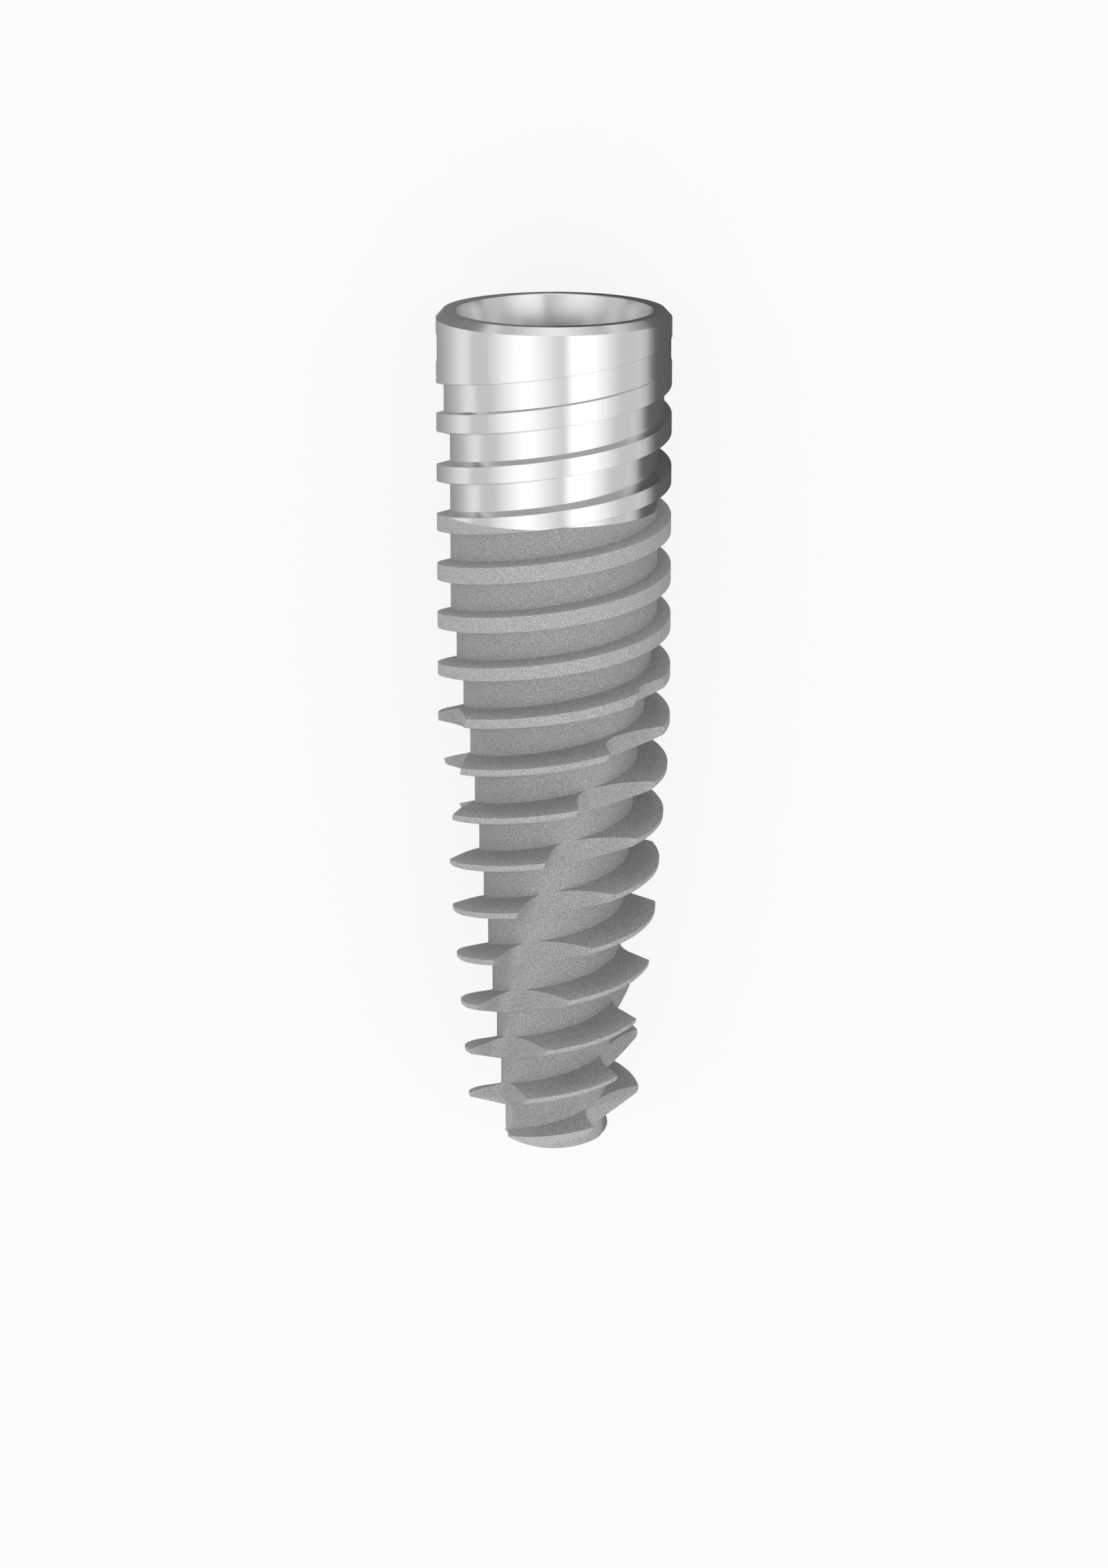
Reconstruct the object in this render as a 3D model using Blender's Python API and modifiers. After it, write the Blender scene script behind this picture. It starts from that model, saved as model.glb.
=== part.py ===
"""A dental implant: one titanium screw, lying on its side as it comes to rest.

It is one piece, so its form is made as a machinist would make it. A blank is turned,
two thread grooves are cut along it, three cutting flutes are milled through the
threads near the tip, and the seat for the abutment is bored into the flat rim.

The implant is modelled upright, with its rim at height zero and its tip below, and
is then laid down. Depths are measured from the rim towards the tip.
"""

import math

import bmesh
import bpy
from mathutils import Matrix, Vector

# Turned blank, in metres and degrees
BODY_LENGTH = 0.013
COLLAR_DIAMETER = 0.0035
RIM_CHAMFER_WIDTH = 0.0001
RIM_CHAMFER_HEIGHT = 0.00011
CREST_TAPER_DEPTH = 0.0065
CREST_TAPER_ANGLE = 4.4
NOSE_HEIGHT = 0.00077

# Thread: like grooves side by side, cut by one tool whose depth changes on the way
THREAD_STARTS = 2
THREAD_SPACING = 0.00075
GROOVE_FLAT_WIDTH = 0.000395
GROOVE_UPPER_FLANK_ANGLE = 14.0
GROOVE_LOWER_FLANK_ANGLE = 16.0
GROOVE_START_DEPTH = 0.000473
GROOVE_START_ANGLE = 22.8
GROOVE_FULL_CUT = 0.0002
GROOVE_RUN_IN_ANGLE = 7.6

# Core: the bottom of the grooves, a cylinder and then two tapers
CORE_TAPER_DEPTH = 0.00441
CORE_TAPER_ANGLE = 7.5
CORE_TIP_TAPER_DEPTH = 0.00658
CORE_TIP_TAPER_ANGLE = 4.92

# Cutting flutes: a radial wall and a floor just inside the core, twisted like the thread
FLUTE_COUNT = 3
FLUTE_BELOW_CORE = 0.000012
FLUTE_FRONT_DEPTH = 0.007845
FLUTE_WALL_LEAD = 0.0182
FLUTE_FLOOR_LEAD = 0.01935
FLUTE_FLOOR_TILT = 3.3
FLUTE_CORNER_RADIUS = 0.00023
FLUTE_EXIT_DEPTH = 0.00737
FLUTE_EXIT_RADIUS = 0.008

# Bore: a conical seat, a hexagon under it and the hole for the abutment screw
SEAT_MOUTH_DIAMETER = 0.00295
SEAT_HALF_ANGLE = 8.0
SEAT_DEPTH = 0.0019
HEXAGON_ACROSS_FLATS = 0.0020
HEXAGON_DEPTH = 0.0032
SCREW_HOLE_DIAMETER = 0.0014
SCREW_HOLE_DEPTH = 0.0062
DRILL_POINT_ANGLE = 118.0

# Facets
ROUND_STEPS = 40
BORE_STEPS = 36
NOSE_STEPS = 8
FLUTE_SECTIONS = 30
FLUTE_CORNER_STEPS = 3
# How far a cutter reaches past the surface that it cuts
TOOL_CLEARANCE = 0.0001

TITANIUM_GREY = (0.36, 0.36, 0.36, 1.0)

BLANK_RADIUS = COLLAR_DIAMETER / 2
THREAD_LEAD = THREAD_SPACING * THREAD_STARTS
STEP_ANGLE = 2 * math.pi / ROUND_STEPS


def slope(angle):
    """The tangent of an angle in degrees."""
    return math.tan(math.radians(angle))


def core_radius(depth):
    """Radius at the bottom of a groove whose middle is at this depth."""
    run_in = (depth - GROOVE_START_DEPTH) * slope(GROOVE_RUN_IN_ANGLE)
    cut = min(run_in, GROOVE_FULL_CUT)
    upper = min(depth, CORE_TIP_TAPER_DEPTH) - CORE_TAPER_DEPTH
    lower = depth - CORE_TIP_TAPER_DEPTH
    cut += max(0.0, upper) * slope(CORE_TAPER_ANGLE)
    cut += max(0.0, lower) * slope(CORE_TIP_TAPER_ANGLE)
    return BLANK_RADIUS - cut


def flute_foot(depth):
    """Distance from the axis to the foot of the flute's wall, which curves out where the mill leaves."""
    rise = max(0.0, FLUTE_EXIT_DEPTH - depth)
    return core_radius(depth) - FLUTE_BELOW_CORE + rise**2 / (2 * FLUTE_EXIT_RADIUS)


def crest_radius(depth):
    """Radius over the thread crests: a cylinder and then a taper."""
    return BLANK_RADIUS - max(0.0, depth - CREST_TAPER_DEPTH) * slope(CREST_TAPER_ANGLE)


def nose_profile():
    """(radius, depth) of the domed nose, a cap of a sphere from the crest taper to the tip."""
    edge = crest_radius(BODY_LENGTH - NOSE_HEIGHT)
    sphere = (edge**2 + NOSE_HEIGHT**2) / (2 * NOSE_HEIGHT)
    edge_angle = math.atan2(edge, sphere - NOSE_HEIGHT)
    points = []
    for step in range(NOSE_STEPS + 1):
        angle = edge_angle * (1 - step / NOSE_STEPS)
        points.append((sphere * math.sin(angle), BODY_LENGTH - sphere * (1 - math.cos(angle))))
    return points


def new_object(name, mesh, collection):
    made = bpy.data.objects.new(name, mesh)
    collection.objects.link(made)
    return made


def turned(name, profile, steps, collection):
    """A solid turned from (radius, depth) points that run from the rim end to the tip end."""
    turn = Matrix.Rotation(math.pi / steps, 3, "Z")
    points = [turn @ Vector((radius, 0, -depth)) for radius, depth in profile]
    edges = [(index, index + 1) for index in range(len(points) - 1)]
    mesh = bpy.data.meshes.new(name)
    mesh.from_pydata(points, edges, [])
    made = new_object(name, mesh, collection)
    screw = made.modifiers.new("turning", "SCREW")
    screw.axis = "Z"
    screw.steps = steps
    screw.render_steps = steps
    screw.use_merge_vertices = True
    screw.merge_threshold = 1e-6
    return made


def lofted(name, sections, collection):
    """A solid through closed sections of equally many points, flat at both ends.

    Its sides are twisted, so they are made of triangles, which stay flat in every later cut.
    """
    bm = bmesh.new()
    loops = [[bm.verts.new(point) for point in section] for section in sections]
    for near, far in zip(loops, loops[1:]):
        for index in range(len(near)):
            following = (index + 1) % len(near)
            bm.faces.new((near[index], near[following], far[following]))
            bm.faces.new((near[index], far[following], far[index]))
    bm.faces.new(loops[0])
    bm.faces.new(loops[-1])
    bmesh.ops.recalc_face_normals(bm, faces=bm.faces)
    mesh = bpy.data.meshes.new(name)
    bm.to_mesh(mesh)
    bm.free()
    return new_object(name, mesh, collection)


def cut(body, cutter):
    """Cuts the body with a tool, which goes where the body goes."""
    cutter.parent = body
    cutter.hide_render = True
    cutter.display_type = "WIRE"
    boolean = body.modifiers.new(f"cut {cutter.name}", "BOOLEAN")
    boolean.operation = "DIFFERENCE"
    boolean.solver = "MANIFOLD"
    boolean.object = cutter


def groove_section(depth, angle):
    """The thread tool's outline at one place on the helix: a trapezoid, wide side out."""
    inner = core_radius(depth)
    outer = BLANK_RADIUS + TOOL_CLEARANCE
    half = GROOVE_FLAT_WIDTH / 2
    reach = outer - inner
    corners = (
        (inner, depth + half),
        (inner, depth - half),
        (outer, depth - half - reach * slope(GROOVE_UPPER_FLANK_ANGLE)),
        (outer, depth + half + reach * slope(GROOVE_LOWER_FLANK_ANGLE)),
    )
    turn = Matrix.Rotation(angle, 3, "Z")
    return [turn @ Vector((radius, 0, -along)) for radius, along in corners]


def groove_cutter(number, collection):
    """One thread groove, from where the tool touches the collar to past the tip.

    The thread is right-handed: seen from the rim, it turns clockwise as it goes down.
    """
    start_angle = math.radians(GROOVE_START_ANGLE) + 2 * math.pi * number / THREAD_STARTS
    # The first section is where a facet edge of the blank lies, before the tool touches
    lead_in = TOOL_CLEARANCE / 2 / slope(GROOVE_RUN_IN_ANGLE)
    first = math.ceil((start_angle + 2 * math.pi * lead_in / THREAD_LEAD) / STEP_ANGLE) + 0.5
    last_depth = BODY_LENGTH + THREAD_SPACING / 2
    sections = []
    step = first
    depth = 0.0
    while depth < last_depth:
        angle = step * STEP_ANGLE
        depth = GROOVE_START_DEPTH + (start_angle - angle) / (2 * math.pi) * THREAD_LEAD
        sections.append(groove_section(depth, angle))
        step -= 1
    return lofted(f"groove_cutter_{number + 1}", sections, collection)


def flute_section(depth, turned_by):
    """The flute's outline square to the axis: wall, rounded corner, floor and open sides."""
    turns_below_front = (FLUTE_FRONT_DEPTH - depth) * 2 * math.pi
    wall_angle = turns_below_front / FLUTE_WALL_LEAD
    floor_angle = turns_below_front / FLUTE_FLOOR_LEAD + math.radians(FLUTE_FLOOR_TILT)
    tilt = floor_angle - wall_angle
    # The corner's arc touches the wall, along = 0, and the floor, which drops by the tilt
    foot = flute_foot(depth)
    arc = math.pi / 2 - tilt
    centre_out = foot + FLUTE_CORNER_RADIUS * (1 / math.cos(tilt) - math.tan(tilt))
    far = COLLAR_DIAMETER
    outline = [(far, far), (far, 0.0)]
    for step in range(FLUTE_CORNER_STEPS + 1):
        angle = arc * step / FLUTE_CORNER_STEPS
        out = centre_out - FLUTE_CORNER_RADIUS * math.sin(angle)
        along = FLUTE_CORNER_RADIUS * (1 - math.cos(angle))
        outline.append((out, along))
    outline.append((foot - far * math.tan(tilt), far))
    front = -math.pi / 2
    turn = Matrix.Rotation(front + wall_angle + turned_by, 3, "Z")
    return [turn @ Vector((out, along, -depth)) for out, along in outline]


def flute_cutter(number, collection):
    """One cutting flute, from above the place where the mill leaves to past the tip."""
    first = FLUTE_EXIT_DEPTH - math.sqrt(2 * FLUTE_EXIT_RADIUS * GROOVE_FULL_CUT) * 1.5
    last = BODY_LENGTH + TOOL_CLEARANCE
    turned_by = 2 * math.pi * number / FLUTE_COUNT
    sections = []
    for step in range(FLUTE_SECTIONS + 1):
        depth = first + (last - first) * step / FLUTE_SECTIONS
        sections.append(flute_section(depth, turned_by))
    return lofted(f"flute_cutter_{number + 1}", sections, collection)


def bore_cutter(collection):
    """The conical seat and the screw hole, turned as one tool."""
    seat_radius = SEAT_MOUTH_DIAMETER / 2
    seat_end = seat_radius - SEAT_DEPTH * slope(SEAT_HALF_ANGLE)
    hole = SCREW_HOLE_DIAMETER / 2
    point = hole / slope(DRILL_POINT_ANGLE / 2)
    above = TOOL_CLEARANCE
    profile = (
        (0.0, -above),
        (seat_radius + above * slope(SEAT_HALF_ANGLE), -above),
        (seat_end, SEAT_DEPTH),
        (hole, SEAT_DEPTH),
        (hole, SCREW_HOLE_DEPTH),
        (0.0, SCREW_HOLE_DEPTH + point),
    )
    return turned("bore_cutter", profile, BORE_STEPS, collection)


def hexagon_cutter(collection):
    """The hexagon that the abutment and the driver fit, from inside the seat down."""
    top = SEAT_DEPTH / 2
    height = HEXAGON_DEPTH - top
    bpy.ops.mesh.primitive_cylinder_add(
        vertices=6,
        radius=HEXAGON_ACROSS_FLATS / math.sqrt(3),
        depth=height,
        location=(0, 0, -top - height / 2),
    )
    made = bpy.context.object
    made.name = "hexagon_cutter"
    for owner in list(made.users_collection):
        owner.objects.unlink(made)
    collection.objects.link(made)
    return made


def titanium():
    material = bpy.data.materials.new("titanium")
    material.use_nodes = True
    shader = material.node_tree.nodes["Principled BSDF"]
    shader.inputs["Base Color"].default_value = TITANIUM_GREY
    shader.inputs["Metallic"].default_value = 1.0
    shader.inputs["Roughness"].default_value = 0.45
    return material


def implant_body(collection, cutters):
    """The blank with all its cuts."""
    rim_radius = BLANK_RADIUS - RIM_CHAMFER_WIDTH
    profile = [
        (0.0, 0.0),
        (rim_radius, 0.0),
        (BLANK_RADIUS, RIM_CHAMFER_HEIGHT),
        (BLANK_RADIUS, CREST_TAPER_DEPTH),
    ]
    profile += nose_profile()
    body = turned("implant_body", profile, ROUND_STEPS, collection)
    for number in range(THREAD_STARTS):
        cut(body, groove_cutter(number, cutters))
    for number in range(FLUTE_COUNT):
        cut(body, flute_cutter(number, cutters))
    cut(body, bore_cutter(cutters))
    cut(body, hexagon_cutter(cutters))
    body.data.materials.append(titanium())
    return body


def lay_down(body):
    """Rim towards +Y, the side that was at -Y upwards, and a facet of the crests on the ground."""
    body.rotation_euler = (math.radians(-90), 0, 0)
    body.location = (0, BODY_LENGTH / 2, BLANK_RADIUS * math.cos(STEP_ANGLE / 2))


for old in list(bpy.data.objects):
    bpy.data.objects.remove(old)
implant_parts = bpy.data.collections.new("dental_implant")
cutting_tools = bpy.data.collections.new("cutting_tools")
bpy.context.scene.collection.children.link(implant_parts)
bpy.context.scene.collection.children.link(cutting_tools)
lay_down(implant_body(implant_parts, cutting_tools))
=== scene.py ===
"""A dental implant on a white table, under soft studio light.

The implant is one piece of titanium, so it is one fine body here too. It is made upright,
with its rim at height zero and its tip below, as a machinist would make it, and is laid
down at the end. Depths are measured from the rim towards the tip, and lengths are in metres.
"""

import math

import bpy
from mathutils import Matrix, Vector


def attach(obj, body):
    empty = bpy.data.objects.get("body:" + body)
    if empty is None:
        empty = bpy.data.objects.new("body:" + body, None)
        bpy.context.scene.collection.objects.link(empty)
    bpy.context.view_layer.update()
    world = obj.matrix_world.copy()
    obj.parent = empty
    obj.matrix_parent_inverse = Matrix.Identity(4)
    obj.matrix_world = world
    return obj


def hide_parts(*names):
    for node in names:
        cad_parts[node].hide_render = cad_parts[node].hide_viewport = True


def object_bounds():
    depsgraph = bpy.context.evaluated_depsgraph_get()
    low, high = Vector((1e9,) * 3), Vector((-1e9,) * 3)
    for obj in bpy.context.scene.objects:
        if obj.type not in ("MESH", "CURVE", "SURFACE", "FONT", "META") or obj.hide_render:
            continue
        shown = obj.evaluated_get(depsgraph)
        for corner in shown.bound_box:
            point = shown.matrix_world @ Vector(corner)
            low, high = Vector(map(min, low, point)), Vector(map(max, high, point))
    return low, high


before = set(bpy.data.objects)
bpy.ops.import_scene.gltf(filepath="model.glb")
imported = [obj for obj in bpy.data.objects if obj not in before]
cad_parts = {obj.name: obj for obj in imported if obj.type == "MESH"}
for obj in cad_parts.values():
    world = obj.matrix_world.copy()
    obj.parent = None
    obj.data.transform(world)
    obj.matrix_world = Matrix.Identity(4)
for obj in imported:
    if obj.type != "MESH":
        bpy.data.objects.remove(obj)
cad_low, cad_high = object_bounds()

# Blank
# The implant starts as a bar of titanium, turned to a cylinder with a chamfered rim, a long
# taper over the thread's lower half and a domed tip. It is extruded ring by ring from the rim.
MM = 0.001
COLLAR_DIAMETER = 3.5 * MM
LENGTH = 13.0 * MM
RIM_CHAMFER_WIDTH = 0.10 * MM
RIM_CHAMFER_HEIGHT = 0.11 * MM
CREST_TAPER_DEPTH = 6.5 * MM
CREST_TAPER = math.tan(math.radians(4.4))
NOSE_HEIGHT = 0.77 * MM
NOSE_RINGS = 20
POINT_SHARE = 0.01
BLANK_SIDES = 180
collar_radius = COLLAR_DIAMETER / 2


def turned(name, profile, sides):
    """A closed solid of (radius, depth) rings round the upright axis."""
    radius, depth = profile[0]
    bpy.ops.object.select_all(action="DESELECT")
    bpy.ops.mesh.primitive_circle_add(
        vertices=sides, radius=radius, fill_type="NGON", location=(0, 0, -depth)
    )
    made = bpy.context.object
    made.name = name
    bpy.ops.object.mode_set(mode="EDIT")
    bpy.ops.mesh.select_all(action="SELECT")
    for wider, deeper in profile[1:]:
        bpy.ops.mesh.extrude_region_move(TRANSFORM_OT_translate={"value": (0, 0, depth - deeper)})
        bpy.ops.transform.resize(value=(wider / radius, wider / radius, 1))
        radius, depth = wider, deeper
    bpy.ops.mesh.select_all(action="SELECT")
    bpy.ops.mesh.normals_make_consistent(inside=False)
    bpy.ops.object.mode_set(mode="OBJECT")
    bpy.ops.object.transform_apply(location=True, rotation=True, scale=True)
    return made


def crest_radius(depth):
    """Radius of the blank, and so of the thread's crests, at a depth."""
    return collar_radius - max(0.0, depth - CREST_TAPER_DEPTH) * CREST_TAPER


def nose_profile():
    """Rings of the dome, a cap of a sphere, down to a last small disc at the tip."""
    edge = crest_radius(LENGTH - NOSE_HEIGHT)
    sphere = (edge**2 + NOSE_HEIGHT**2) / (2 * NOSE_HEIGHT)
    edge_angle = math.atan2(edge, sphere - NOSE_HEIGHT)
    shares = [1 - ring / NOSE_RINGS for ring in range(NOSE_RINGS)] + [POINT_SHARE]
    rings = []
    for share in shares:
        angle = edge_angle * share
        rings.append((sphere * math.sin(angle), LENGTH - sphere * (1 - math.cos(angle))))
    return rings


blank = [
    (collar_radius - RIM_CHAMFER_WIDTH, 0.0),
    (collar_radius, RIM_CHAMFER_HEIGHT),
    (collar_radius, CREST_TAPER_DEPTH),
]
body = turned("implant", blank + nose_profile(), BLANK_SIDES)

# Thread grooves
# Two grooves run side by side, right-handed, from under the collar to the tip. The tool goes in
# over the first turn and then follows the core, which is a cylinder and then two tapers.
THREAD_SPACING = 0.75 * MM
THREAD_STARTS = 2
THREAD_LEAD = THREAD_STARTS * THREAD_SPACING
GROOVE_FLAT = 0.395 * MM
UPPER_FLANK = math.tan(math.radians(14))
LOWER_FLANK = math.tan(math.radians(16))
GROOVE_START_DEPTH = 0.473 * MM
GROOVE_START_ANGLE = math.radians(22.8)
GROOVE_FULL_CUT = 0.2 * MM
GROOVE_LEAST_CUT = 0.002 * MM
GROOVE_RUN_IN = math.tan(math.radians(7.6))
CORE_TAPER_DEPTH = 4.41 * MM
CORE_TAPER = math.tan(math.radians(7.5))
CORE_TIP_TAPER_DEPTH = 6.58 * MM
CORE_TIP_TAPER = math.tan(math.radians(4.92))
EDGE_BREAK = 0.004 * MM
TOOL_CLEARANCE = 0.1 * MM
GROOVE_STEPS = 120


def core_radius(depth):
    """Radius at the bottom of a groove whose middle is at this depth."""
    removed = min((depth - GROOVE_START_DEPTH) * GROOVE_RUN_IN, GROOVE_FULL_CUT)
    removed += max(0.0, min(depth, CORE_TIP_TAPER_DEPTH) - CORE_TAPER_DEPTH) * CORE_TAPER
    removed += max(0.0, depth - CORE_TIP_TAPER_DEPTH) * CORE_TIP_TAPER
    return collar_radius - removed


def swept(name, outlines):
    """A closed solid through outlines of equally many points, as a cutter leaves it.

    A ring of points is repeated by a Screw modifier, and each copy then takes its outline.
    """
    corners = len(outlines[0])
    bpy.ops.object.select_all(action="DESELECT")
    bpy.ops.mesh.primitive_circle_add(vertices=corners, radius=MM, fill_type="NOTHING")
    made = bpy.context.object
    made.name = name
    sweep = made.modifiers.new("sweep", "SCREW")
    sweep.angle = math.pi
    sweep.screw_offset = LENGTH
    sweep.steps = len(outlines) - 1
    sweep.render_steps = sweep.steps
    sweep.use_merge_vertices = False
    bpy.ops.object.modifier_apply(modifier=sweep.name)
    for number, vertex in enumerate(made.data.vertices):
        ring, corner = divmod(number, corners)
        vertex.co = outlines[ring][corner]
    bpy.ops.object.mode_set(mode="EDIT")
    bpy.ops.mesh.select_all(action="SELECT")
    bpy.ops.mesh.fill_holes(sides=corners)
    bpy.ops.mesh.select_all(action="SELECT")
    bpy.ops.mesh.quads_convert_to_tris(quad_method="FIXED", ngon_method="BEAUTY")
    bpy.ops.mesh.normals_make_consistent(inside=False)
    bpy.ops.object.mode_set(mode="OBJECT")
    return made


def cut(solid, tool):
    """Takes the tool's shape out of the solid, and the tool away."""
    bpy.ops.object.select_all(action="DESELECT")
    bpy.context.view_layer.objects.active = solid
    solid.select_set(True)
    boolean = solid.modifiers.new(tool.name, "BOOLEAN")
    boolean.operation = "DIFFERENCE"
    boolean.solver = "MANIFOLD"
    boolean.object = tool
    bpy.ops.object.modifier_apply(modifier=boolean.name)
    bpy.data.objects.remove(tool)


def groove_outline(depth, angle):
    """The groove tool across its path: flat bottom, two flanks, and a broken edge at the crest."""
    inner = core_radius(depth)
    half = GROOVE_FLAT / 2
    outer = collar_radius + TOOL_CLEARANCE
    reach = max(crest_radius(depth) - EDGE_BREAK - inner, GROOVE_LEAST_CUT)
    upper = depth - half - reach * UPPER_FLANK
    lower = depth + half + reach * LOWER_FLANK
    over = outer - inner - reach
    corners = (
        (inner, depth + half),
        (inner, depth - half),
        (inner + reach, upper),
        (outer, upper - over),
        (outer, lower + over),
        (inner + reach, lower),
    )
    turn = Matrix.Rotation(angle, 3, "Z")
    return [turn @ Vector((radius, 0, -along)) for radius, along in corners]


for start in range(THREAD_STARTS):
    start_angle = GROOVE_START_ANGLE + 2 * math.pi * start / THREAD_STARTS
    step_angle = 2 * math.pi / GROOVE_STEPS
    outlines = []
    depth = 0.0
    step = -GROOVE_STEPS // 4
    while depth < LENGTH + THREAD_SPACING / 2:
        depth = GROOVE_START_DEPTH + step / GROOVE_STEPS * THREAD_LEAD
        outlines.append(groove_outline(depth, start_angle - step * step_angle))
        step += 1
    cut(body, swept(f"groove_tool_{start + 1}", outlines))

# Cutting flutes
# Three right-handed flutes are milled through the threads from the middle to the tip. Each has a
# radial wall, a rounded corner and a floor that lies on the core, and runs out on a long radius.
FLUTES = 3
FLUTE_FRONT_DEPTH = 7.845 * MM
FLUTE_WALL_LEAD = 18.2 * MM
FLUTE_FLOOR_LEAD = 19.35 * MM
FLUTE_FLOOR_TILT = math.radians(3.3)
FLUTE_BELOW_CORE = 0.004 * MM
FLUTE_CORNER = 0.23 * MM
FLUTE_EXIT_DEPTH = 7.37 * MM
FLUTE_EXIT_RADIUS = 8.0 * MM
FLUTE_OVERRUN = 1.5
FLUTE_MILL_WIDTH = 1.0 * MM
FLUTE_RINGS = 120
FLUTE_CORNER_STEPS = 10
FLUTE_FLOOR_STEPS = 12


def flute_outline(depth, turned_by):
    """The flute square to the axis: its wall, its corner, its floor and its open sides."""
    below_front = (FLUTE_FRONT_DEPTH - depth) * 2 * math.pi
    wall_angle = below_front / FLUTE_WALL_LEAD
    tilt = below_front / FLUTE_FLOOR_LEAD + FLUTE_FLOOR_TILT - wall_angle
    rise = max(0.0, FLUTE_EXIT_DEPTH - depth)
    foot = core_radius(depth) - FLUTE_BELOW_CORE + rise**2 / (2 * FLUTE_EXIT_RADIUS)
    centre = foot + FLUTE_CORNER * (1 / math.cos(tilt) - math.tan(tilt))
    far = collar_radius
    corners = [(far + FLUTE_MILL_WIDTH, far), (far + FLUTE_MILL_WIDTH, 0.0)]
    for step in range(FLUTE_CORNER_STEPS + 1):
        angle = (math.pi / 2 - tilt) * step / FLUTE_CORNER_STEPS
        corners.append((centre - FLUTE_CORNER * math.sin(angle), FLUTE_CORNER * (1 - math.cos(angle))))
    floor_start = corners[-1][1]
    for step in range(1, FLUTE_FLOOR_STEPS + 1):
        along = floor_start + (far - floor_start) * step / FLUTE_FLOOR_STEPS
        corners.append((foot - along * math.tan(tilt), along))
    turn = Matrix.Rotation(wall_angle + turned_by - math.pi / 2, 3, "Z")
    return [turn @ Vector((out, along, -depth)) for out, along in corners]


flute_top = FLUTE_EXIT_DEPTH - FLUTE_OVERRUN * math.sqrt(2 * FLUTE_EXIT_RADIUS * GROOVE_FULL_CUT)
flute_reach = LENGTH + TOOL_CLEARANCE - flute_top
flute_depths = [flute_top + flute_reach * ring / FLUTE_RINGS for ring in range(FLUTE_RINGS + 1)]
for flute in range(FLUTES):
    turned_by = 2 * math.pi * flute / FLUTES
    outlines = [flute_outline(depth, turned_by) for depth in flute_depths]
    cut(body, swept(f"flute_mill_{flute + 1}", outlines))

# Seat
# The abutment's cone, its hexagon and its screw go into the open end. The cone is bored first,
# then a hexagon is broached under it, and the screw hole below gets a fine right-hand thread.
SEAT_MOUTH = 2.95 * MM
SEAT_SLOPE = math.tan(math.radians(8))
SEAT_DEPTH = 1.9 * MM
SEAT_EDGE_BREAK = 0.012 * MM
SEAT_FLOOR_DISH = 0.02 * MM
HEXAGON_FLATS = 2.0 * MM
HEXAGON_DEPTH = 3.2 * MM
HEXAGON_CORNER = 0.12 * MM
HEXAGON_CORNER_STEPS = 5
SCREW_HOLE = 1.4 * MM
SCREW_HOLE_DEPTH = 6.2 * MM
DRILL_POINT = math.tan(math.radians(90 - 118 / 2))
SCREW_THREAD_PITCH = 0.35 * MM
SCREW_THREAD_DEPTH = 0.11 * MM
SCREW_THREAD_END = 0.5 * MM
TAP_ROOT = 0.9
TAP_ROOT_WIDTH = 0.84 * SCREW_THREAD_PITCH
TAP_CREST_WIDTH = 0.04 * MM
TAP_STEPS = 48
BORE_SIDES = 120

mouth = SEAT_MOUTH / 2
hole = SCREW_HOLE / 2
bore_end = SCREW_HOLE_DEPTH + hole * DRILL_POINT
seat = [
    (mouth + 3 * SEAT_EDGE_BREAK, -2 * SEAT_EDGE_BREAK),
    (mouth, SEAT_EDGE_BREAK),
    (mouth - SEAT_DEPTH * SEAT_SLOPE, SEAT_DEPTH),
    (hole, SEAT_DEPTH + SEAT_FLOOR_DISH),
    (hole, SCREW_HOLE_DEPTH),
    (hole * POINT_SHARE, bore_end),
]
cut(body, turned("seat_borer", seat, BORE_SIDES))

broach_top = SEAT_DEPTH / 2
bpy.ops.object.select_all(action="DESELECT")
bpy.ops.mesh.primitive_cylinder_add(
    vertices=6,
    radius=HEXAGON_FLATS / math.sqrt(3),
    depth=HEXAGON_DEPTH - broach_top,
    location=(0, 0, -(HEXAGON_DEPTH + broach_top) / 2),
)
broach = bpy.context.object
broach.name = "hexagon_broach"
bpy.ops.object.transform_apply(location=True, rotation=True, scale=True)
bpy.ops.object.mode_set(mode="EDIT")
bpy.ops.mesh.select_all(action="DESELECT")
bpy.ops.object.mode_set(mode="OBJECT")
for edge in broach.data.edges:
    ends = [broach.data.vertices[index].co.z for index in edge.vertices]
    edge.select = abs(ends[0] - ends[1]) > HEXAGON_CORNER
bpy.ops.object.mode_set(mode="EDIT")
bpy.ops.mesh.bevel(offset=HEXAGON_CORNER, offset_type="OFFSET", segments=HEXAGON_CORNER_STEPS)
bpy.ops.object.mode_set(mode="OBJECT")
cut(body, broach)


def tap_outline(step):
    """The tap's tooth across its path: a V that points outwards, its root inside the hole."""
    depth = HEXAGON_DEPTH + TOOL_CLEARANCE + step / TAP_STEPS * SCREW_THREAD_PITCH
    corners = (
        (hole * TAP_ROOT, depth + TAP_ROOT_WIDTH / 2),
        (hole * TAP_ROOT, depth - TAP_ROOT_WIDTH / 2),
        (hole + SCREW_THREAD_DEPTH, depth - TAP_CREST_WIDTH / 2),
        (hole + SCREW_THREAD_DEPTH, depth + TAP_CREST_WIDTH / 2),
    )
    turn = Matrix.Rotation(-2 * math.pi * step / TAP_STEPS, 3, "Z")
    return [turn @ Vector((radius, 0, -along)) for radius, along in corners]


tap_turns = (SCREW_HOLE_DEPTH - HEXAGON_DEPTH - SCREW_THREAD_END) / SCREW_THREAD_PITCH
outlines = [tap_outline(step) for step in range(round(tap_turns * TAP_STEPS))]
cut(body, swept("tap", outlines))

# Finishes
# The collar, the first turns of the thread and the seat stay as turned. Below a sharp line
# round the body, the surface is blasted and etched, so that bone grows onto it.
ETCHED_DEPTH = 2.97 * MM


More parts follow.
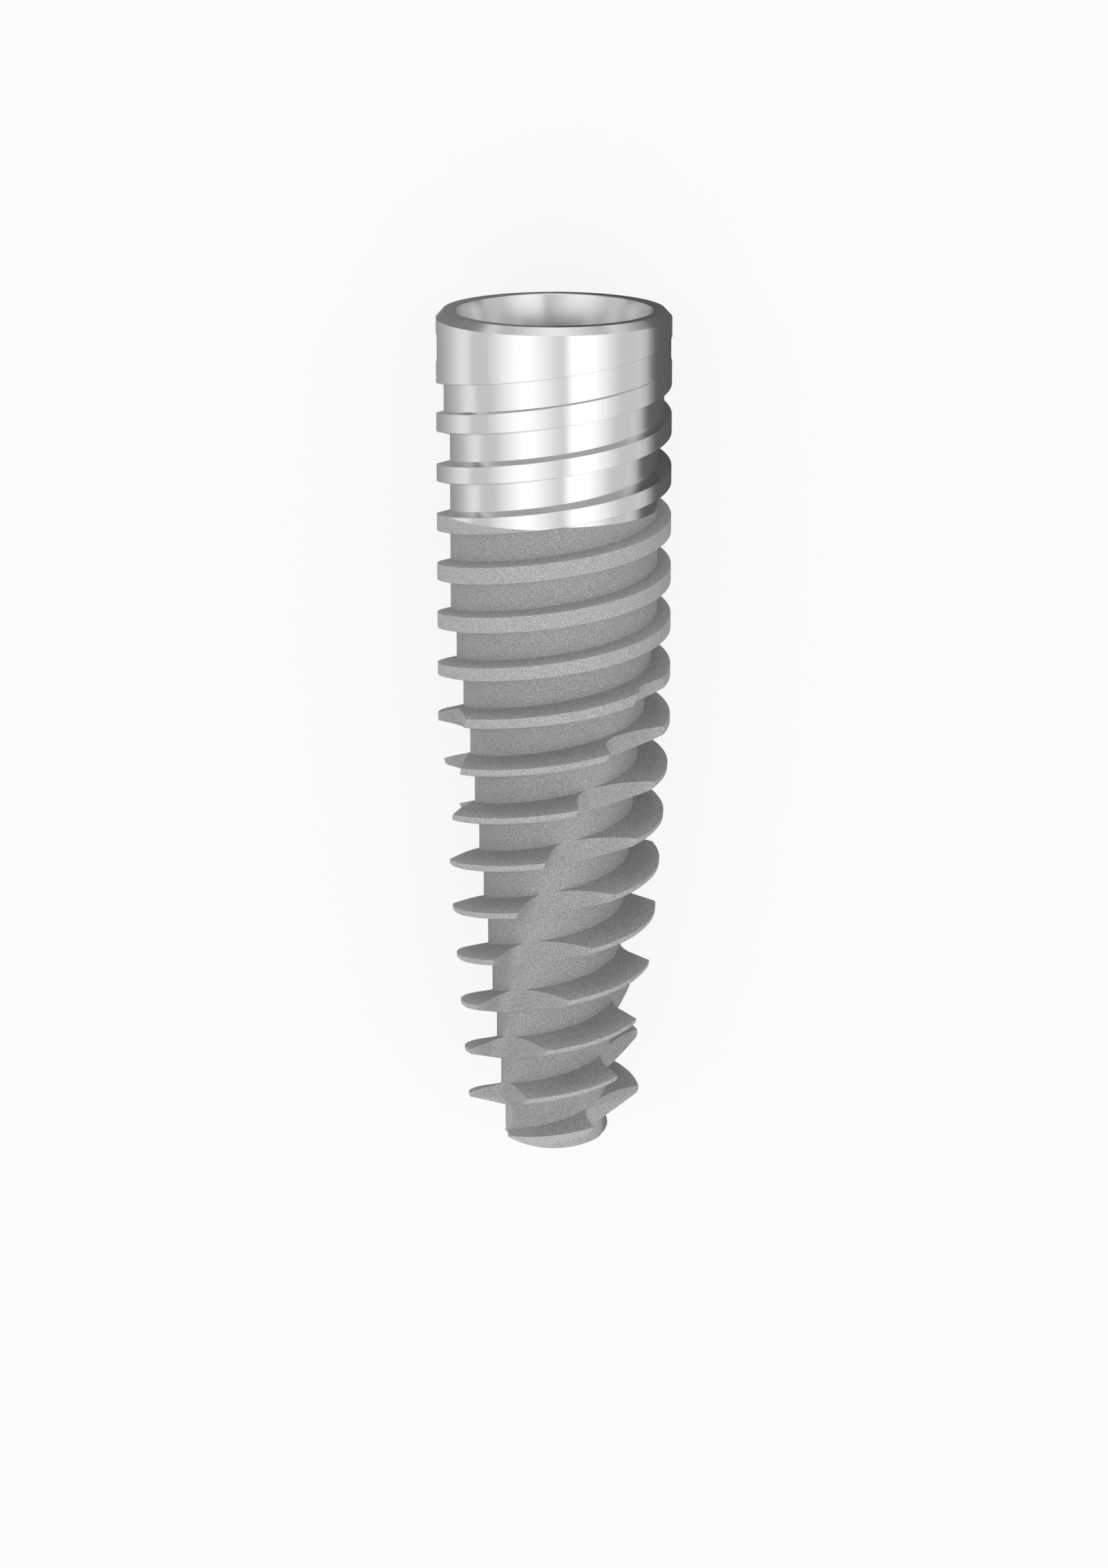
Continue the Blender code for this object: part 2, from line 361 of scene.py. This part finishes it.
def linear(hex_colour):
    """A linear colour from its sRGB hex value."""
    channels = [int(hex_colour[place:place + 2], 16) / 255 for place in (1, 3, 5)]
    straight = [c / 12.92 if c <= 0.04045 else ((c + 0.055) / 1.055) ** 2.4 for c in channels]
    return (*straight, 1.0)


def set_inputs(node, inputs):
    """Sets a node's inputs, by name or number, each to a value or from another node's socket."""
    for name, value in inputs.items():
        if isinstance(value, bpy.types.NodeSocket):
            node.id_data.links.new(value, node.inputs[name])
        else:
            node.inputs[name].default_value = value


def add_node(tree, kind, settings, inputs):
    """Adds a node with its settings and its inputs."""
    node = tree.nodes.new(kind)
    for name, value in settings.items():
        setattr(node, name, value)
    set_inputs(node, inputs)
    return node


def new_finish(name):
    """A new material: the material, its node tree, its shader and its piece's own coordinates."""
    finish = bpy.data.materials.new(name)
    finish.use_nodes = True
    tree = finish.node_tree
    place = add_node(tree, "ShaderNodeTexCoord", {}, {}).outputs["Object"]
    return finish, tree, tree.nodes["Principled BSDF"], place


# Turned titanium: bright neutral grey, nearly a mirror, with the feed marks of the lathe round
# it. They are a few hundredths of a millimetre apart on the real one and a few times as coarse
# here, so that they show up close. At scale 1, the wave's bands are WAVE_SPACING apart.
FEED = 0.125 * MM
WAVE_SPACING = 2 * math.pi / 20
turned_titanium, tree, shader, place = new_finish("turned_titanium")
marks = add_node(
    tree,
    "ShaderNodeTexWave",
    {"bands_direction": "Y"},
    {"Vector": place, "Scale": WAVE_SPACING / FEED},
)
ridge = add_node(
    tree,
    "ShaderNodeBump",
    {},
    {"Height": marks.outputs["Fac"], "Strength": 0.02, "Distance": 0.001 * MM},
)
turned_look = {
    "Base Color": linear("#E1E1E1"),
    "Metallic": 1.0,
    "Roughness": 0.2,
    "Normal": ridge.outputs["Normal"],
}
set_inputs(shader, turned_look)

# Etched titanium: matte mid grey, blasted with fine grit and then etched in acid. That leaves pits
# of a few micrometres, drawn 15 micrometres wide here, so that they show as a fine grain. The
# grooves and the flutes, which lie sunk below the crests, are painted darker: painted shade.
GRAIN = 0.015 * MM
SUNK_FULL = 0.2 * MM
PAINTED_SUNK_SHADE = 0.86
etched_titanium, tree, shader, place = new_finish("etched_titanium")
pits = add_node(
    tree,
    "ShaderNodeTexNoise",
    {},
    {"Vector": place, "Scale": 1 / GRAIN, "Detail": 3.0, "Roughness": 0.6},
)
tone = add_node(tree, "ShaderNodeValToRGB", {}, {"Fac": pits.outputs["Fac"]})
tone.color_ramp.elements[0].position = 0.36
tone.color_ramp.elements[0].color = linear("#A1A1A1")
tone.color_ramp.elements[1].position = 0.64
tone.color_ramp.elements[1].color = linear("#DDDDDD")
sunk = add_node(tree, "ShaderNodeAttribute", {"attribute_name": "sunk"}, {})
# Painted shade: the grain's colour is darkened the deeper a point lies below the crest.
shade = add_node(
    tree,
    "ShaderNodeMapRange",
    {},
    {"Value": sunk.outputs["Fac"], "From Max": SUNK_FULL, "To Min": 1.0, "To Max": PAINTED_SUNK_SHADE},
)
grain_with_painted_shade = add_node(
    tree,
    "ShaderNodeVectorMath",
    {"operation": "SCALE"},
    {"Vector": tone.outputs["Color"], "Scale": shade.outputs["Result"]},
)
pitted = add_node(
    tree,
    "ShaderNodeBump",
    {},
    {"Height": pits.outputs["Fac"], "Strength": 0.4, "Distance": 0.005 * MM},
)
etched_look = {
    "Base Color": grain_with_painted_shade.outputs["Vector"],
    "Metallic": 0.6,
    "Roughness": 0.72,
    "Normal": pitted.outputs["Normal"],
}
set_inputs(shader, etched_look)

# Laying down
# The finished implant is split by finish, and laid on the table as it comes to rest: its crests
# touch the table, its rim points away and the side that was in front is on top.
axis_height = (cad_high.z - cad_low.z) / 2
rim_centre = Vector((0, LENGTH / 2, axis_height))
bpy.ops.object.select_all(action="DESELECT")
bpy.context.view_layer.objects.active = body
body.select_set(True)
bpy.ops.object.mode_set(mode="EDIT")
bpy.ops.mesh.select_all(action="SELECT")
bpy.ops.mesh.quads_convert_to_tris(quad_method="BEAUTY", ngon_method="BEAUTY")
bpy.ops.mesh.bisect(plane_co=(0, 0, -ETCHED_DEPTH), plane_no=(0, 0, 1), threshold=0.0001 * MM)
bpy.ops.mesh.select_all(action="SELECT")
bpy.ops.mesh.quads_convert_to_tris(quad_method="BEAUTY", ngon_method="BEAUTY")
bpy.ops.object.mode_set(mode="OBJECT")
body.data.materials.clear()
body.data.materials.append(turned_titanium)
body.data.materials.append(etched_titanium)
for face in body.data.polygons:
    depth = -face.center.z
    inside = math.hypot(face.center.x, face.center.y) < core_radius(depth) - TOOL_CLEARANCE
    in_bore = inside and depth < bore_end
    face.material_index = 1 if depth > ETCHED_DEPTH and not in_bore else 0
bpy.ops.object.shade_smooth_by_angle(angle=math.radians(20))
# How deep each point lies below the crest, by which the etched finish is painted darker as shade.
sunk_depths = body.data.attributes.new("sunk", "FLOAT", "POINT")
for vertex in body.data.vertices:
    depth = -vertex.co.z
    on_dome = depth > LENGTH - NOSE_HEIGHT
    below_crest = crest_radius(depth) - math.hypot(vertex.co.x, vertex.co.y)
    sunk_depths.data[vertex.index].value = 0.0 if on_dome else max(0.0, below_crest)
body.rotation_euler = (math.radians(-90), 0, 0)
body.location = rim_centre
bpy.ops.object.transform_apply(location=True, rotation=True, scale=True)
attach(body, "root")
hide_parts("implant_body")

# Table
# A smooth, matt white laminate top, which the implant's crests just touch. A camera and a mirror
# see most of it evenly white, and the rest keeps the implant's soft shadow.
TABLE_SIZE = 1.0
EVEN_WHITE = 0.85
table_height = axis_height - collar_radius
bpy.ops.object.select_all(action="DESELECT")
bpy.ops.mesh.primitive_plane_add(size=TABLE_SIZE, location=(0, 0, table_height))
table = bpy.context.object
table.name = "table"
bpy.ops.object.transform_apply(location=True, rotation=True, scale=True)
laminate = bpy.data.materials.new("white_laminate")
laminate.use_nodes = True
tree = laminate.node_tree
tree.nodes.remove(tree.nodes["Principled BSDF"])
matt = add_node(tree, "ShaderNodeBsdfDiffuse", {}, {"Color": linear("#F7F7F7")})
even = add_node(tree, "ShaderNodeEmission", {}, {"Color": linear("#FFFFFF"), "Strength": 1.0})
path = add_node(tree, "ShaderNodeLightPath", {}, {})
seen = add_node(
    tree,
    "ShaderNodeMath",
    {"operation": "ADD"},
    {0: path.outputs["Is Camera Ray"], 1: path.outputs["Is Glossy Ray"]},
)
seen_through = add_node(
    tree,
    "ShaderNodeMath",
    {"operation": "ADD", "use_clamp": True},
    {0: seen.outputs["Value"], 1: path.outputs["Is Transmission Ray"]},
)
share = add_node(
    tree,
    "ShaderNodeMath",
    {"operation": "MULTIPLY"},
    {0: seen_through.outputs["Value"], 1: EVEN_WHITE},
)
mixed = add_node(
    tree,
    "ShaderNodeMixShader",
    {},
    {"Fac": share.outputs["Value"], 1: matt.outputs["BSDF"], 2: even.outputs["Emission"]},
)
set_inputs(tree.nodes["Material Output"], {"Surface": mixed.outputs["Shader"]})
table.data.materials.append(laminate)

# Reflection cards
# Grey cards lie on the table beside and behind the implant, so that polished edges mirror something
# darker than the table. Only mirrored rays see them here, and they cast no shadow: what they show is
# painted reflection, in greys that mostly darken towards the implant as painted shade of the table.
CARD_LIFT = 0.01 * MM


def lay_card(name, low, high, fade, greys):
    """A card between two corners, painted from one grey to another along X, in millimetres: a painted
    reflection.
    """
    bpy.ops.object.select_all(action="DESELECT")
    middle = [(start + end) / 2 * MM for start, end in zip(low, high)]
    bpy.ops.mesh.primitive_plane_add(size=MM, location=(*middle, table_height + CARD_LIFT))
    card = bpy.context.object
    card.name = name
    card.scale = (high[0] - low[0], high[1] - low[1], 1)
    bpy.ops.object.transform_apply(location=True, rotation=True, scale=True)
    card.visible_camera = False
    card.visible_diffuse = False
    card.visible_shadow = False
    card.visible_transmission = False
    reflection_card_finish, tree, shader, place = new_finish(name)
    across = add_node(tree, "ShaderNodeSeparateXYZ", {}, {"Vector": place})
    along_fade = add_node(
        tree,
        "ShaderNodeMapRange",
        {},
        {"Value": across.outputs["X"], "From Min": fade[0] * MM, "From Max": fade[1] * MM},
    )
    # Painted reflection: the card's grey, fading along X, is what polished edges mirror in place of
    # the table's shade.
    painted_reflection_grey = add_node(tree, "ShaderNodeValToRGB", {}, {"Fac": along_fade.outputs["Result"]})
    painted_reflection_grey.color_ramp.elements[0].color = linear(greys[0])
    painted_reflection_grey.color_ramp.elements[1].color = linear(greys[1])
    reflection_card_look = {
        "Base Color": painted_reflection_grey.outputs["Color"],
        "Roughness": 1.0,
        "Specular IOR Level": 0.0,
    }
    set_inputs(shader, reflection_card_look)
    card.data.materials.append(reflection_card_finish)


lay_card("left_card", (-12.0, -9.0), (0.0, 6.5), (-3.0, -9.0), ("#C0C0C0", "#FFFFFF"))
lay_card("right_card", (0.0, -9.0), (60.0, 9.5), (7.0, 14.0), ("#6E6E6E", "#DCDCDC"))
lay_card("left_rim_card", (-14.0, 6.5), (0.0, 30.0), (0.0, -14.0), ("#909090", "#909090"))
lay_card("right_rim_card", (0.0, 9.5), (40.0, 40.0), (4.5, 14.0), ("#989898", "#F0F0F0"))

# Studio light
# A pale room, a little dimmer on the side that the rim faces, and four soft boxes whose light
# fades towards the sides of their beams. Two run along the implant, left and right of the camera,
# and one shines on each end of it.
LIGHT_DISTANCE = 0.15
LIGHT_LENGTH = 0.3
ROOM_BRIGHTNESS = 0.7
RIM_SIDE_BRIGHTNESS = 0.57


def soft_box(name, turn, lean, near, far, spread, brightness):
    """A soft box, turned and leant from straight overhead, in degrees.

    Its panel reaches from the near to the far angle across its beam, as the implant sees it, and
    the spread of the beam changes how fast its light fades and not how bright it is.
    """
    reach = [LIGHT_DISTANCE * math.tan(math.radians(angle)) for angle in (near, far)]
    facing = Matrix.Rotation(math.radians(turn), 3, "Y") @ Matrix.Rotation(math.radians(lean), 3, "X")
    place = facing @ Vector(((reach[0] + reach[1]) / 2, 0, LIGHT_DISTANCE))
    bpy.ops.object.light_add(type="AREA", location=place, rotation=facing.to_euler())
    lamp = bpy.context.object
    lamp.name = name
    lamp.visible_camera = False
    lamp.data.shape = "RECTANGLE"
    lamp.data.size = reach[1] - reach[0]
    lamp.data.size_y = LIGHT_LENGTH
    lamp.data.spread = math.radians(spread)
    side = math.radians(spread / 2)
    narrowing = 1 - side / math.tan(side)
    lamp.data.energy = brightness * math.pi * narrowing * lamp.data.size * lamp.data.size_y


soft_box("left_soft_box", turn=-30, lean=8, near=-38, far=38, spread=76, brightness=0.79)
soft_box("right_soft_box", turn=27, lean=8, near=-15, far=39, spread=78, brightness=0.91)
soft_box("rim_soft_box", turn=0, lean=-72, near=-30, far=30, spread=60, brightness=0.62)
soft_box("tip_soft_box", turn=-35, lean=75, near=-30, far=30, spread=80, brightness=0.55)

world = bpy.data.worlds.new("pale_room")
bpy.context.scene.world = world
world.use_nodes = True
tree = world.node_tree
outwards = add_node(tree, "ShaderNodeTexCoord", {}, {}).outputs["Object"]
toward = add_node(tree, "ShaderNodeSeparateXYZ", {}, {"Vector": outwards})
dimmer_range = {
    "Value": toward.outputs["Y"],
    "From Min": 0.1,
    "From Max": 0.5,
    "To Min": ROOM_BRIGHTNESS,
    "To Max": RIM_SIDE_BRIGHTNESS,
}
dimmer = add_node(tree, "ShaderNodeMapRange", {}, dimmer_range)
pale_walls = {"Color": linear("#FFFFFF"), "Strength": dimmer.outputs["Result"]}
set_inputs(tree.nodes["Background"], pale_walls)

# Camera
# A long lens looks down on the implant's upper side, tilted a little towards the rim, so that
# the open seat shows. Its distance, and how far its middle is below the rim's centre in the
# picture, are in collar diameters.
CAMERA_TILT = math.radians(14.892)
CAMERA_DISTANCE = 19.978 * COLLAR_DIAMETER
CAMERA_DROP = 2.0031 * COLLAR_DIAMETER
CAMERA_LENS = 108.71
CAMERA_SENSOR = 36
CAMERA_NEAR = 1 * MM
CAMERA_FAR = 2.0
looks_along = Vector((0, -math.sin(CAMERA_TILT), -math.cos(CAMERA_TILT)))
looks_up = Vector((0, math.cos(CAMERA_TILT), -math.sin(CAMERA_TILT)))
bpy.ops.object.camera_add(rotation=(-CAMERA_TILT, 0, 0))
camera = bpy.context.object
camera.name = "camera"
camera.location = rim_centre - CAMERA_DISTANCE * looks_along - CAMERA_DROP * looks_up
camera.data.sensor_width = CAMERA_SENSOR
camera.data.lens = CAMERA_LENS
camera.data.clip_start = CAMERA_NEAR
camera.data.clip_end = CAMERA_FAR
bpy.context.scene.camera = camera

bpy.context.scene.view_settings.view_transform = "Standard"
